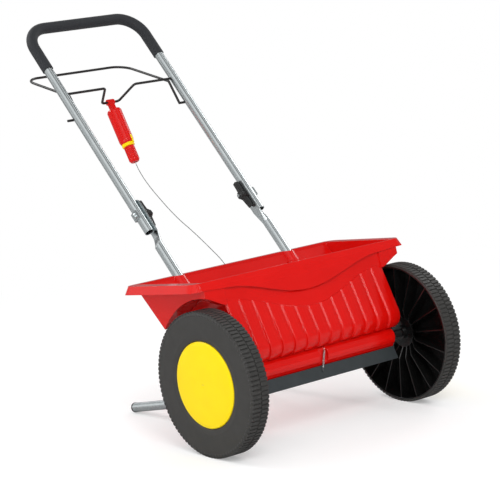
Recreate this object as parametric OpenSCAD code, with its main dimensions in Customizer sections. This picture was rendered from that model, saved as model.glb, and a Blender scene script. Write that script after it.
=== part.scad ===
// Drop spreader for a garden: a trough-shaped hopper hung on its own axle between two wheels,
// a metering shutter under the trough, a folding U handle and a squeeze loop that opens the shutter.
// +X is across the machine, +Y points back to the user, +Z is up.
// The ground is z = 0 and the axle is over y = 0.

/* [Wheels] */
// Radius of a wheel over its lugs
wheel_r = 160; // [120:1:200]
// Distance over the outer faces of both wheels
wheel_span = 620; // [480:5:760]
// Width of a wheel
wheel_w = 45.4; // [30:0.2:70]
// Radius of the domed wheel cap
cap_r = 94.8; // [60:0.2:130]
// Lugs in one row of the tread
lug_count = 100; // [60:2:130]
// Height of a lug
lug_h = 2.1; // [1:0.1:5]
// Ribs inside the open side of a wheel
rib_count = 18; // [12:1:24]
// Radius of the axle shaft
axle_r = 6; // [4:0.5:10]

/* [Hopper] */
// Backward lean of the hopper while the machine is parked
hopper_tilt = 5.6; // [0:0.1:15]
// Half length of the hopper rim
rim_half = 309; // [200:1:360]
// Height of the rim above the axle
rim_top = 217; // [160:1:260]
// Half width of the pleated front
front_half = 232.7; // [150:0.1:260]
// Number of pleats across the front
pleat_count = 13; // [7:2:19]
// Height of the step between two pleats
pleat_rise = 3.8; // [1:0.1:6]
// Half width of the metering trough
trough_half = 216; // [140:1:250]
// Outer radius of the metering trough
trough_r = 38; // [28:0.5:50]
// Moulded wall thickness
wall = 3; // [2:0.1:4]

/* [Handle] */
// Angle of the handle above level
handle_angle = 46.2; // [30:0.1:60]
// Tube radius
tube_r = 11; // [9:0.1:14]
// Tube wall thickness
tube_wall = 1.5; // [1:0.1:3]
// Distance from the centre plane to a handle leg
handle_x = 166.4; // [120:0.1:200]
// Distance from the centre plane to a lower tube
lower_x = 163.4; // [120:0.1:200]
// Length from the tube datum to the middle of the top bar
handle_top = 975; // [700:1:1200]
// Place of the folding joint along the tube line
fold_at = 400; // [300:1:500]
// Radius of the soft grip
grip_r = 13.5; // [12:0.1:18]

/* [Controls] */
// Squeeze travel in degrees, which the joints use too
bail_travel = 34; // [20:1:45]
// Radius of the bent control rods
rod_r = 3; // [2:0.1:5]
// Reach of the squeeze loop from its pivot
loop_reach = 183; // [120:1:220]
// Radius of the dose adjuster barrel
barrel_r = 18; // [12:0.5:24]
// Radius of the control wire
wire_r = 1; // [0.6:0.1:2]

/* [Hidden] */
// wheels
wheel_out = wheel_span / 2;
wheel_in = wheel_out - wheel_w;
tread_r = wheel_r - lug_h;
core_r = tread_r - 3;
hub_r = 16;
hub_len = 26;
hub_in = wheel_in + 8;
rib_t = 2.6;
// trough ends, bearings and axle
bush_r = 10;
collar_r = 11;
collar_in = trough_half + 2;
collar_out = trough_half + 7;
run_fit = 0.06;
ear_in = collar_in + 1.2;
ear_t = 2.6;
spacer_in = collar_out + 0.6;
shaft_half = hub_in + hub_len + 5.6;
// hopper section, from the axle centre: y back, z up
rim_front = -6;
rim_back = 240;
rim_y = (rim_front + rim_back) / 2;
rim_lean = 1.2;
rim_corner = 24;
skirt_h = 18;
skirt_flare = [8, 6];
body_half = 285;
arch_r = 183;
ledge_z = 157;
ledge_y = -12.6;
belly_c = [-23, 53];
belly_r = 29.5;
belly_top = 158;
roll_c = [-25, 4];
roll_r = 20;
back_low = 320;
back_mid = [144, 113];
back_high = [216, 192];
front_lean = atan2(ledge_y - belly_c[0] - belly_r * cos(belly_top),
    ledge_z - belly_c[1] - belly_r * sin(belly_top));
wave_half = 230;
// outlets and shutter
outlet_count = 13;
outlet_pitch = 33;
outlet_r = 5.5;
outlet_angle = -86;
shutter_r = trough_r + 0.4;
shutter_t = 1.6;
shutter_half = 225;
shutter_back = -71;
shutter_front = -131;
lever_r = 55.6;
lever_angle = -42.3;
lever_gap = 1.4;
lever_side = 3;
// tube line: datum of both tubes, seen from the side
line_y = 95.6;
line_z = 185.9;
bend_r = 50;
bend_at = -27;
foot_turn = 122.2;
foot_len = 354;
blade_t = 3;
blade_half = 12.5;
blade_from = 349;
blade_to = 441;
round_to = 315;
stub_at = 351;
corner_r = 60;
grip_from = 848;
strap_t = 1.6;
screw_x = tube_r + strap_t + 5.55;
screw_r = 1.9;
screw_len = 9;
knob_gap = 0.3;
bolt_r = 4;
// squeeze loop and crank, from the pivot
pivot_at = 770.6;
loop_lean = -35.9;
loop_x = 149;
loop_corner = 40;
crank = [43.6, -40.6];
crank_half = 25;
crank_foot = 44;
stop_at = 704;
stop_n = -14.3;
// dose adjuster, on its own axis down from the crank
adjust_lean = -29.9;
barrel_top = -20;
barrel_end = -113;
ring_end = -121;
sleeve_end = -161.7;
sleeve_r = 13;
ring_bore = 4;
pointer_w = 4.4;
// return spring, in the hopper's own frame
spring_top = [4, -41, 18];
spring_low = [-8, -41, -25.5];
spring_r = 2.8;

colour_red = [0.80, 0.02, 0.01];
colour_yellow = [0.95, 0.80, 0.02];
colour_tyre = [0.13, 0.13, 0.13];
colour_black = [0.04, 0.04, 0.04];
colour_zinc = [0.72, 0.76, 0.77];
colour_slate = [0.16, 0.18, 0.19];

pivot_y = line_y + pivot_at * cos(handle_angle);
pivot_z = line_z + pivot_at * sin(handle_angle);

// control wire: from inside the adjuster, over the rim, down the back wall to the shutter lever
wire_points = [[617, 604], [592, 561], [580, 542], [559, 519], [533, 497], [503, 475], [471, 453],
    [436, 432],
    [397, 412], [359, 391], [325, 371], [296, 353], [272, 333], [246, 308], [200, 263], [140, 207],
        [80, 153], [39, 120]];
wire_steps = 4;

// Shared helpers

// Points of an arc in a section, from angle a to angle b
function arc(c, r, a, b, n) = [for (i = [0 : n]) [c[0] + r * cos(a + (b - a) * i / n),
    c[1] + r * sin(a + (b - a) * i / n)]];

// A section drawn in y and z, carried along x
module along_x(from, to) {
    translate([from, 0, 0]) rotate([90, 0, 90]) linear_extrude(to - from) children();
}

// The hopper's own frame: level rim, origin on the axle
module on_axle() {
    translate([0, 0, wheel_r]) children();
}

module in_hopper() {
    on_axle() rotate([-hopper_tilt, 0, 0]) children();
}

// The tube frame: y runs up the tube line, z is the normal above it
module in_tube_line() {
    translate([0, line_y, line_z]) rotate([handle_angle, 0, 0]) children();
}

module x_bar(from, to, r, y = 0, z = 0) {
    translate([from, y, z]) rotate([0, 90, 0]) cylinder(h = to - from, r = r, $fn = 32);
}

module side(s) {
    if (s > 0) children();
    else mirror([1, 0, 0]) children();
}

// A straight round rod between two points
module rod(a, b, r, sides = 20) {
    d = b - a;
    len = norm(d);
    translate(a) rotate([0, acos(d[2] / len), atan2(d[1], d[0])]) cylinder(h = len, r = r, $fn = sides);
}

// A bent rod: straight runs with a ball at every bend
module bent_rod(points, r) {
    for (i = [0 : len(points) - 2]) rod(points[i], points[i + 1], r);
    for (i = [1 : len(points) - 2]) translate(points[i]) sphere(r = r + 0.03, $fn = 20);
}

// A rod bent in one plane, with a round bend at every corner
function unit(v) = v / norm(v);
function corner_turn(p, i) = acos(unit(p[i] - p[i - 1]) * unit(p[i + 1] - p[i]));
function corner_cut(p, i, bend) = i == 0 || i == len(p) - 1 ? 0 : bend * tan(corner_turn(p, i) / 2);

module planar_rod(p, r, bend) {
    for (i = [0 : len(p) - 2]) {
        u = unit(p[i + 1] - p[i]);
        a = p[i] + corner_cut(p, i, bend) * u;
        b = p[i + 1] - corner_cut(p, i + 1, bend) * u;
        translate([a[0], a[1], 0]) rotate(atan2(u[1], u[0])) rotate([0, 90, 0]) {
            cylinder(h = norm(b - a), r = r, $fn = 20);
            // a hair-thin collar where a straight run meets its bend joins the two solids
            if (i > 0) translate([0, 0, -0.15]) cylinder(h = 0.3, r = r + 0.03, $fn = 20);
            if (i < len(p) - 2) translate([0, 0, norm(b - a) - 0.15])
                cylinder(h = 0.3, r = r + 0.03, $fn = 20);
        }
    }
    for (i = [1 : len(p) - 2]) {
        u = unit(p[i] - p[i - 1]);
        w = unit(p[i + 1] - p[i]);
        way = sign(u[0] * w[1] - u[1] * w[0]);
        into = p[i] - corner_cut(p, i, bend) * u;
        centre = into + way * bend * [-u[1], u[0]];
        first = (way > 0 ? into : p[i] + corner_cut(p, i, bend) * w) - centre;
        translate([centre[0], centre[1], 0]) rotate(atan2(first[1], first[0]))
            rotate_extrude(angle = corner_turn(p, i), $fn = 48) translate([bend, 0])
                circle(r = r, $fn = 20);
    }
}

// Hopper

belly_arc = arc(belly_c, belly_r, belly_top, 248, 6);
function waist(t) = [-32 + t * 1.2, 23.5 + t];
roll_arc = arc(roll_c, roll_r, 120, 236, 6);
function outer_front() = concat([[rim_front, rim_top], [ledge_y, ledge_z]], belly_arc);
function rim_z(y) = rim_top - (y - rim_front) * tan(rim_lean);
function outer_back() = [back_mid, back_high, [227, 204], [231, rim_z(231)]];

module outer_section() {
    polygon(concat(outer_front(), [waist(0)], roll_arc, arc([0, 0], trough_r, 203, back_low, 10),
        outer_back()));
}

module outer_upper_section() {
    polygon(concat(outer_front(), [waist(0), [69.2, 23.5]], outer_back()));
}

function inner_front() = concat([[rim_front + wall, rim_top + 1], [ledge_y + wall, ledge_z]],
    arc(belly_c, belly_r - wall, belly_top, 236, 5));
function inner_back() = [[141.7, 114.8], [213.6, 193.8], [224.3, 205.6], [228, rim_top + 1]];

module inner_section() {
    polygon(concat(inner_front(), [waist(wall)], arc(roll_c, roll_r - wall, 132, 232, 5),
        arc([0, 0], trough_r - wall, 200, back_low, 10), inner_back()));
}

module inner_upper_section() {
    polygon(concat(inner_front(), [waist(wall), [70, 23.5 + wall]], inner_back()));
}

// The half discs that clear the wheels
module wheel_arch_cut(r, from) {
    for (s = [-1, 1]) side(s) translate([from, 0, 0]) rotate([0, 90, 0])
        cylinder(h = 400 - from, r = r, $fn = 96);
}

module hopper_outside() {
    along_x(-trough_half, trough_half) outer_section();
    difference() {
        along_x(-body_half, body_half) outer_upper_section();
        wheel_arch_cut(arch_r, front_half);
    }
}

module hopper_inside() {
    along_x(-trough_half + wall, trough_half - wall) inner_section();
    difference() {
        along_x(-body_half + wall, body_half - wall) inner_upper_section();
        wheel_arch_cut(arch_r + wall, front_half - wall);
    }
}

// One prism of the turned-down rim, wider at its lower edge
module rim_prism(inset, z0, z1) {
    rim_size = [rim_half - inset, rim_back - rim_y - inset];
    low = rim_size + skirt_flare * (rim_top - z0) / skirt_h;
    high = rim_size + skirt_flare * (rim_top - z1) / skirt_h;
    translate([0, rim_y, z0]) linear_extrude(z1 - z0, scale = [high[0] / low[0], high[1] / low[1]])
        rounded_plate(low[0], low[1], rim_corner - inset);
}

module rounded_plate(half_x, half_y, r) {
    square([2 * half_x - 2 * r, 2 * half_y], center = true);
    square([2 * half_x, 2 * half_y - 2 * r], center = true);
    for (sx = [-1, 1], sy = [-1, 1]) translate([sx * (half_x - r), sy * (half_y - r)])
        circle(r = r, $fn = 24);
}

// Turned-down rim, a little lower at the back
module rim() {
    translate([0, rim_front, rim_top]) rotate([-rim_lean, 0, 0]) translate([0, -rim_front, -rim_top])
        difference() {
        rim_prism(0, rim_top - skirt_h, rim_top);
        rim_prism(wall, rim_top - skirt_h - 1, rim_top - wall);
    }
}

// A region seen from the front whose lower edge is the wave z = base - drop at the middle
module front_wave(base, drop, edge, y0, y1) {
    steps = 12;
    lower = [for (i = [-steps : steps]) let (x = wave_half * i / steps) [x,
        base - drop * (1 + cos(180 * x / wave_half)) / 2]];
    translate([0, y1, 0]) rotate([90, 0, 0]) linear_extrude(y1 - y0)
    polygon(concat([[-edge, 260]], [[-edge, base + 4]], lower, [[edge, base + 4], [edge, 260]]));
}

// Apron: a proud band under the rim that hangs lower in the middle
module apron() {
    intersection() {
        along_x(-body_half - 8, body_half + 8)
        polygon([[rim_front, rim_top], [-12, 205], [-16.5, 190], [-20.6, 150], [-8, 150], [0, rim_top]]);
        front_wave(197, 43, rim_half, -60, 20);
    }
}

// Sloped shoulders that close the front corners over the wheels
module shoulders() {
    for (s = [-1, 1]) side(s) intersection() {
        along_x(front_half - wall, body_half) polygon([[-11, 206], [-15.6, 160], [12, 160], [12, 206]]);
        translate([0, 60, 0]) rotate([90, 0, 0]) linear_extrude(120)
            polygon([[front_half - wall - 1, 207], [front_half - wall - 1, 160], [front_half + 3, 161],
                [front_half + 11, 164],
                [front_half + 24, 170.5], [front_half + 38, 177.5], [body_half + 1, 184],
                    [body_half + 1, 207]]);
    }
}

// Section of the pleats across the front, laid like shingles: x across, y out
pleat_shape = [[-0.49, 0.1], [-0.44, 0.85], [-0.39, 0.98], [-0.25, 1], [0, 0.9], [0.25, 0.62],
    [0.45, 0.25], [0.49, 0.1]];
pleat_end = front_half - 0.4;
pitch = 2 * pleat_end / pleat_count;
pleat_line = [for (i = [0 : pleat_count - 1], q = pleat_shape)
    [(i - (pleat_count - 1) / 2 + q[0]) * pitch, pleat_rise * q[1]]];

module pleats() {
    straight_len = 118;
    intersection() {
        union() {
            translate([0, belly_c[0] + (belly_r - 0.2) * cos(belly_top),
                belly_c[1] + (belly_r - 0.2) * sin(belly_top)])
            rotate([-front_lean, 0, 0]) rotate([0, 0, 180]) mirror([1, 0, 0])
            linear_extrude(straight_len) polygon(concat([[-pleat_end, -1]], pleat_line, [[pleat_end, -1]]));
            translate([0, belly_c[0], belly_c[1]]) rotate([90, 0, 90]) rotate([0, 0, belly_top])
            rotate_extrude(angle = 78, $fn = 48)
            polygon(concat([[belly_r - 1.2, -pleat_end]],
                [for (p = pleat_line) [belly_r - 0.2 + p[1], p[0]]],
                [[belly_r - 1.2, pleat_end]]));
        }
        difference() {
            translate([-300, -100, 0]) cube([600, 140, 200]);
            front_wave(168, 50, 300, -110, 60);
        }
    }
}

// Half-round channels in the back wall that the lower tubes lie in
module tube_channel(r, from, to) {
    rotate([hopper_tilt, 0, 0]) translate([0, 0, -wheel_r]) in_tube_line()
    for (s = [-1, 1]) translate([s * lower_x, from, 0]) rotate([-90, 0, 0])
        cylinder(h = to - from, r = r, $fn = 40);
}

module tube_slot(half_w, from, to) {
    rotate([hopper_tilt, 0, 0]) translate([0, 0, -wheel_r]) in_tube_line()
    for (s = [-1, 1]) translate([s * lower_x - half_w, from, -60]) cube([2 * half_w, to - from, 60]);
}

// Pads that the tube straps are screwed to
module strap_pad(at) {
    rotate([hopper_tilt, 0, 0]) translate([0, 0, -wheel_r]) in_tube_line()
    for (s = [-1, 1]) translate([s * lower_x - 26, at - 11, 0]) cube([52, 22, 14]);
}

// Pilot holes for the screws of a pair of straps
module screw_holes(at) {
    rotate([hopper_tilt, 0, 0]) translate([0, 0, -wheel_r]) in_tube_line()
    for (s = [-1, 1], sx = [-1, 1]) translate([s * lower_x + sx * screw_x, at, -1])
        cylinder(h = screw_len, r = screw_r + 0.06, $fn = 16);
}

low_strap_at = 40;
high_strap_at = 178;

module outlets(r) {
    for (i = [0 : outlet_count - 1])
        translate([(i - (outlet_count - 1) / 2) * outlet_pitch, 0, 0]) rotate([outlet_angle, 0, 0])
        translate([0, trough_r - 10, 0]) rotate([-90, 0, 0]) cylinder(h = 20, r = r, $fn = 20);
}

module hopper() {
    color(colour_red) in_hopper() difference() {
        union() {
            difference() {
                union() {
                    hopper_outside();
                    rim();
                    apron();
                    shoulders();
                    pleats();
                }
                hopper_inside();
            }
            // tube channels, strap pads and the spring pocket stand on the inside of the walls
            intersection() {
                union() {
                    tube_channel(tube_r + 0.4 + wall, -20, 260);
                    strap_pad(high_strap_at);
                    translate([-18, -44, -15]) cube([32, 12, 42]);
                }
                hopper_outside();
            }
            // the lower strap pads stand out from the back wall
            difference() {
                strap_pad(low_strap_at);
                hopper_inside();
            }
            // bearing bosses
            for (s = [-1, 1]) side(s) x_bar(trough_half - 7, trough_half, 14);
        }
        tube_channel(tube_r + 0.4, -60, 300);
        tube_slot(tube_r + 0.4, 60, 300);
        x_bar(-trough_half - 1, trough_half + 1, bush_r);
        outlets(outlet_r);
        // recess for the return spring
        translate([-14, -60, -16]) cube([24, 23, 41]);
        screw_holes(low_strap_at);
        screw_holes(high_strap_at);
        // anchor hole of the return spring
        translate([spring_top[0], -40, spring_top[2] + 4]) rotate([-90, 0, 0])
            cylinder(h = 20, r = 1.3, $fn = 16);
    }
}

// Axle, bearings and wheels

module bearing(s) {
    color(colour_black) on_axle() side(s) difference() {
        union() {
            x_bar(trough_half - 8, trough_half, bush_r);
            x_bar(trough_half, collar_in, bush_r + 5);
            x_bar(collar_in, collar_out, collar_r);
        }
        x_bar(trough_half - 9, collar_out + 1, axle_r + run_fit);
    }
}

module axle_shaft() {
    color(colour_zinc) on_axle() difference() {
        x_bar(-shaft_half, shaft_half, axle_r);
        // cross hole for the drive pin
        translate([-hub_in - hub_len / 2, 0, -axle_r - 1]) cylinder(h = 2 * axle_r + 2, r = 2, $fn = 20);
        for (s = [-1, 1]) side(s) difference() {
            x_bar(shaft_half - 3.2, shaft_half - 2, axle_r + 1);
            x_bar(shaft_half - 4, shaft_half, axle_r - 0.8);
        }
    }
}

module drive_pin() {
    pin_half = hub_r + 1.5;
    color(colour_zinc) translate([-hub_in - hub_len / 2, 0, wheel_r - pin_half])
        cylinder(h = 2 * pin_half, r = 2, $fn = 20);
}

module agitator() {
    star_t = 6;
    tip_r = 30;
    color(colour_black) on_axle() difference() {
        union() {
            x_bar(-trough_half + 12, trough_half - 12, 9);
            for (i = [0 : outlet_count - 1]) along_x((i - 6) * outlet_pitch - star_t / 2,
                (i - 6) * outlet_pitch + star_t / 2)
                rotate(i % 2 * 45) for (k = [0 : 1]) rotate(90 * k)
                polygon([[-tip_r, -2.5], [-9, -5], [9, -5], [tip_r, -2.5], [tip_r, 2.5], [9, 5], [-9, 5],
                    [-tip_r, 2.5]]);
        }
        x_bar(-trough_half, trough_half, axle_r);
    }
}

// One row of blocks round the tread
module lug_row(from, to, phase) {
    along_x(from, to) rotate(phase) difference() {
        polygon([for (i = [0 : lug_count - 1],
            c = [[-0.37, -0.4], [-0.31, lug_h], [0.31, lug_h], [0.37, -0.4]])
            let (a = 360 * (i + c[0]) / lug_count, r = tread_r + c[1]) [r * cos(a), r * sin(a)]]);
        circle(r = tread_r - 1, $fn = 100);
    }
}

module tyre(s) {
    color(colour_tyre) on_axle() side(s) union() {
        // tread wall with a shoulder that turns in to the side wall
        rotate([90, 0, 90]) rotate_extrude($fn = 100)
        polygon([[core_r, wheel_in], [tread_r - 1.5, wheel_in], [tread_r, wheel_in + 1.5],
            [tread_r, wheel_out - 4],
            [tread_r - 1.5, wheel_out - 1.6], [tread_r - 5, wheel_out - 0.4], [tread_r - 20, wheel_out],
            [cap_r + 14, wheel_out], [cap_r + 3, wheel_out - 1.5], [cap_r + 0.4, wheel_out - 4],
                [cap_r + 0.4, wheel_out - 6],
            [tread_r - 8, wheel_out - 6], [core_r, wheel_out - 9]]);
        lug_row(wheel_in + 1, wheel_in + wheel_w / 2 - 1.5, 0);
        lug_row(wheel_in + wheel_w / 2 + 1.5, wheel_out - 1.5, 180 / lug_count);
    }
}

module wheel_core(s) {
    web_x = wheel_out - 10;
    color(colour_black) on_axle() side(s) difference() {
        union() {
            // rim band, web, hub and hub plate turned in one
            rotate([90, 0, 90]) rotate_extrude($fn = 100)
            polygon([[core_r, wheel_in], [core_r, wheel_out - 9.1], [tread_r - 8, wheel_out - 6.1],
                [cap_r + 0.4, wheel_out - 6.1],
                [cap_r - 6, web_x + 2.5], [hub_r, web_x + 1.5], [hub_r, hub_in + hub_len],
                    [axle_r - 2, hub_in + hub_len],
                [axle_r - 2, hub_in], [hub_r, hub_in], [hub_r, wheel_in + 15], [35, wheel_in + 17],
                    [35, wheel_in + 19.5],
                [hub_r, wheel_in + 19.5], [hub_r, web_x - 1.5], [core_r - 10, web_x],
                    [core_r - 4, wheel_in + 12], [core_r - 3, wheel_in]]);
            for (i = [0 : rib_count - 1]) rotate([360 * (i + 0.5) / rib_count, 0, 0])
                translate([0, 0, -rib_t / 2]) linear_extrude(rib_t)
                polygon([[wheel_in + 17.5, 33], [wheel_in + 3, 60], [wheel_in + 1.5, core_r - 2],
                    [web_x + 0.5, core_r - 7], [web_x, hub_r - 1],
                    [wheel_in + 18, hub_r - 1]]);
        }
        x_bar(hub_in - 1, hub_in + hub_len + 1, axle_r + (s > 0 ? run_fit : 0));
        if (s < 0) translate([hub_in + hub_len / 2, 0, -hub_r - 2])
            cylinder(h = 2 * hub_r + 4, r = 2, $fn = 20);
    }
}

module wheel_cap(s) {
    color(colour_yellow) on_axle() side(s) rotate([90, 0, 90]) rotate_extrude($fn = 100)
        polygon([[0, wheel_out + 3.6], [40, wheel_out + 3.2], [70, wheel_out + 2],
            [cap_r - 8, wheel_out + 0.8], [cap_r - 1.5, wheel_out - 0.6],
            [cap_r, wheel_out - 2.4], [cap_r, wheel_out - 6], [cap_r - 2.4, wheel_out - 6],
                [cap_r - 2.4, wheel_out - 3.4], [cap_r - 9, wheel_out - 1.4],
            [70, wheel_out - 0.2], [40, wheel_out + 0.8], [0, wheel_out + 1.2]]);
}

module retainer(s) {
    face = hub_in + hub_len;
    color(colour_zinc) on_axle() side(s) {
        difference() {
            union() {
                x_bar(face + 0.1, face + 1.7, 12);
                x_bar(face + 1.7, face + 2.4, 7.5);
            }
            x_bar(face - 1, face + 4, axle_r);
        }
        difference() {
            x_bar(shaft_half - 3.2, shaft_half - 2, 9.5);
            x_bar(shaft_half - 4, shaft_half, axle_r - 0.8);
        }
    }
}

module spacer(s) {
    color(colour_black) on_axle() side(s) difference() {
        x_bar(spacer_in, hub_in - 0.4, 9);
        x_bar(spacer_in - 1, hub_in + 1, axle_r + run_fit);
    }
}

// Lower tubes, feet and straps

// The whole lower tube: flattened upper end, straight run, bend and foot
module lower_run(r, top, foot) {
    translate([lower_x, bend_at, 0]) rotate([-90, 0, 0]) cylinder(h = top - bend_at, r = r, $fn = 32);
    translate([lower_x, bend_at, -bend_r]) rotate([90, 0, 90]) rotate([0, 0, 90])
        rotate_extrude(angle = foot_turn, $fn = 72) translate([bend_r, 0]) circle(r = r, $fn = 32);
    in_foot() {
        cylinder(h = foot, r = r, $fn = 32);
        // a hair-thin collar joins the bend and the foot
        translate([0, 0, -1]) cylinder(h = 2, r = r + 0.05, $fn = 32);
    }
}

module in_foot() {
    end_a = 90 + foot_turn;
    translate([lower_x, bend_at + bend_r * cos(end_a), -bend_r + bend_r * sin(end_a)])
        rotate([end_a, 0, 0]) children();
}

module lower_tube(s) {
    face_x = handle_x - tube_r - blade_t - 0.1;
    color(colour_zinc) in_tube_line() side(s) difference() {
        union() {
            lower_run(tube_r, round_to, foot_len);
            hull() {
                translate([lower_x, round_to - 1, 0]) rotate([-90, 0, 0])
                    cylinder(h = 1, r = tube_r - 0.1, $fn = 32);
                translate([face_x, blade_from, -blade_half]) cube([blade_t, 1, 2 * blade_half]);
            }
            translate([face_x, blade_from, -blade_half])
                cube([blade_t, blade_to - blade_from - blade_half, 2 * blade_half]);
            translate([face_x, blade_to - blade_half, 0]) rotate([0, 90, 0])
                cylinder(h = blade_t, r = blade_half, $fn = 40);
        }
        lower_run(tube_r - tube_wall, round_to - 8, foot_len + 1);
        // the outer side is pressed in to a dish above the round part
        translate([face_x + blade_t + 60, blade_from + 2, -40]) cylinder(h = 80, r = 60, $fn = 120);
        // bolt hole
        x_bar(face_x - 1, face_x + blade_t + 1, bolt_r + run_fit, fold_at, 0);
    }
}

module foot_plug(s) {
    color(colour_black) in_tube_line() side(s) in_foot() {
        translate([0, 0, foot_len - 14]) cylinder(h = 14.2, r = tube_r - tube_wall - 0.1, $fn = 32);
        translate([0, 0, foot_len]) cylinder(h = 2.4, r = tube_r + 0.6, $fn = 32);
        translate([0, 0, foot_len + 2.4]) cylinder(h = 1.4, r1 = tube_r + 0.6, r2 = tube_r - 2, $fn = 32);
    }
}

// A saddle strap over a tube with a screw in each foot
module strap(s, at) {
    inner_r = tube_r + 0.05;
    strap_w = 16;
    color(colour_zinc) in_tube_line() side(s) translate([lower_x, at - strap_w / 2, 0]) {
        difference() {
            union() {
                rotate([-90, 0, 0]) cylinder(h = strap_w, r = inner_r + strap_t, $fn = 40);
                translate([-inner_r - strap_t - 11, 0, -strap_t])
                    cube([2 * (inner_r + strap_t + 11), strap_w, strap_t]);
            }
            translate([0, -1, 0]) rotate([-90, 0, 0]) cylinder(h = strap_w + 2, r = inner_r, $fn = 40);
            translate([-30, -1, 0]) cube([60, strap_w + 2, 30]);
        }
        for (sx = [-1, 1]) translate([sx * screw_x, strap_w / 2, 0]) {
            translate([0, 0, -strap_t - 2.6]) cylinder(h = 2.7, r = 3.8, $fn = 24);
            translate([0, 0, -strap_t]) cylinder(h = screw_len, r = screw_r, $fn = 16);
        }
    }
}

// Shutter and its spring

module shutter_section() {
    shell_in = arc([0, 0], shutter_r, shutter_back, shutter_front, 8);
    shell_out = arc([0, 0], shutter_r + shutter_t, shutter_front + 5, shutter_back, 8);
    // folded strip: shell under the trough, web, hem and the flat front leg
    polygon(concat(shell_in, [[-26.8, -31.5], [-27.4, -45.9], [-36.4, -45.9], [-36.4, -17.5], [-38, -17.5],
        [-38, -47.5], [-25.8, -47.5], [-25, -34]], shell_out));
}

module shutter() {
    lever_tip = [lever_r * cos(lever_angle), lever_r * sin(lever_angle)];
    color(colour_slate) in_hopper() difference() {
        union() {
            along_x(-shutter_half, shutter_half) shutter_section();
            // ears that turn on the bearing collars
            for (s = [-1, 1]) side(s) along_x(ear_in, ear_in + ear_t) difference() {
                union() {
                    circle(r = 16, $fn = 48);
                    polygon(concat([[-13, 9], [-37.5, -18], [-37.5, -47], [-26, -47]],
                        arc([0, 0], shutter_r + 0.8, shutter_front, shutter_back, 6), [[15, -5]]));
                }
                circle(r = collar_r + run_fit, $fn = 48);
            }
            // forked lever, with the end of the control wire between its cheeks
            for (s = [-1, 1]) side(s) along_x(lever_gap, lever_side) {
                polygon([[-12, -38.5], [12.5, -38.4], [37.5, -34], [45, -34], [46, -40], [38, -43.5],
                    [-8, -42.5]]);
                translate(lever_tip) circle(r = 5, $fn = 28);
            }
        }
        rotate([-bail_travel, 0, 0]) outlets(outlet_r);
        along_x(-4, 4) translate(lever_tip) circle(r = wire_r + 0.1, $fn = 16);
        // the front leg's ends are cut on the slant
        for (s = [-1, 1]) side(s) translate([0, -50, 0]) rotate([-90, 0, 0])
            linear_extrude(19) polygon([[213, 10], [213, 17], [224, 47.6], [240, 47.6], [240, 10]]);
        // spring hole
        translate([spring_low[0], -45, spring_low[2] - 4.5]) rotate([-90, 0, 0])
            cylinder(h = 10, r = 1.6, $fn = 16);
    }
}

// Close-wound spring with an eye at each end
module return_spring() {
    axis = spring_low - spring_top;
    len = norm(axis);
    turns = 15;
    wire = 0.5;
    step = (len - 4) / turns;
    color(colour_zinc) in_hopper() {
        translate(spring_top) rotate([0, acos(axis[2] / len), atan2(axis[1], axis[0])]) translate([0, 0, 2])
        rotate_extrude($fn = 20) polygon(concat([[0.6, 0]],
            [for (i = [0 : turns - 1], c = [[-0.6, 0.05], [0, 0.5], [-0.6, 0.95]]) [spring_r + c[0],
                (i + c[1]) * step]],
            [[0.6, len - 4]]));
        bent_rod([spring_top + [-0.3, 0, -3], spring_top + [0, 0, 3.5], spring_top + [0, 5.5, 4]], wire);
        bent_rod([spring_low + [0.3, 0, 3], spring_low + [0, 0, -4], spring_low + [0, 4.5, -4.5]], wire);
    }
}

// Handle

// The U path of the handle from a place on each leg round the top bar
module handle_run(r, from) {
    leg_top = handle_top - corner_r;
    for (s = [-1, 1]) {
        translate([s * handle_x, from, 0]) rotate([-90, 0, 0])
            cylinder(h = leg_top - from, r = r, $fn = 36);
        translate([s * (handle_x - corner_r), leg_top, 0]) rotate([0, 0, s > 0 ? 0 : 90])
            rotate_extrude(angle = 90, $fn = 64) translate([corner_r, 0]) circle(r = r, $fn = 36);
    }
    translate([corner_r - handle_x, handle_top, 0]) rotate([0, 90, 0])
        cylinder(h = 2 * (handle_x - corner_r), r = r, $fn = 36);
}

module handle_tube() {
    color(colour_zinc) in_tube_line() difference() {
        handle_run(tube_r, stub_at);
        handle_run(tube_r - tube_wall, stub_at - 1);
        // bolt holes, then the pivot holes in the inner walls
        x_bar(-handle_x - tube_r - 1, handle_x + tube_r + 1, bolt_r + run_fit, fold_at, 0);
        x_bar(-handle_x + 2, handle_x - 2, rod_r + run_fit, pivot_at, 0);
    }
}

module grip_sleeve() {
    color(colour_slate) in_tube_line() difference() {
        handle_run(grip_r, grip_from);
        handle_run(tube_r, grip_from - 1);
    }
}

// Carriage bolt: rounded head outside, square neck, shank through both tubes
module fold_bolt(s) {
    color(colour_zinc) in_tube_line() side(s) translate([0, fold_at, 0]) difference() {
        union() {
            x_bar(handle_x + tube_r + 1.9, handle_x + tube_r + 3.4, 7.5);
            translate([handle_x + tube_r + 3.3, 0, 0]) rotate([0, 90, 0])
                cylinder(h = 2.2, r1 = 7.5, r2 = 4, $fn = 32);
            x_bar(handle_x - tube_r - 26, handle_x + tube_r + 2, bolt_r);
        }
        translate([handle_x + tube_r + 12, 0, 0]) cube([8, 30, 30], center = true);
    }
}

// Curved washer that fits the tube under the bolt head
module saddle(s) {
    color(colour_zinc) in_tube_line() side(s) difference() {
        translate([handle_x + 4, fold_at - 11, -9]) cube([tube_r - 2.1, 22, 18]);
        translate([handle_x, fold_at - 12, 0]) rotate([-90, 0, 0])
            cylinder(h = 24, r = tube_r + 0.02, $fn = 48);
        x_bar(handle_x, handle_x + tube_r + 4, bolt_r + run_fit, fold_at, 0);
        for (e = [-1, 1]) translate([handle_x + 6, fold_at + e * 16, 0]) rotate([0, 0, 45 * e])
            cube([26, 8, 30], center = true);
    }
}

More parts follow.
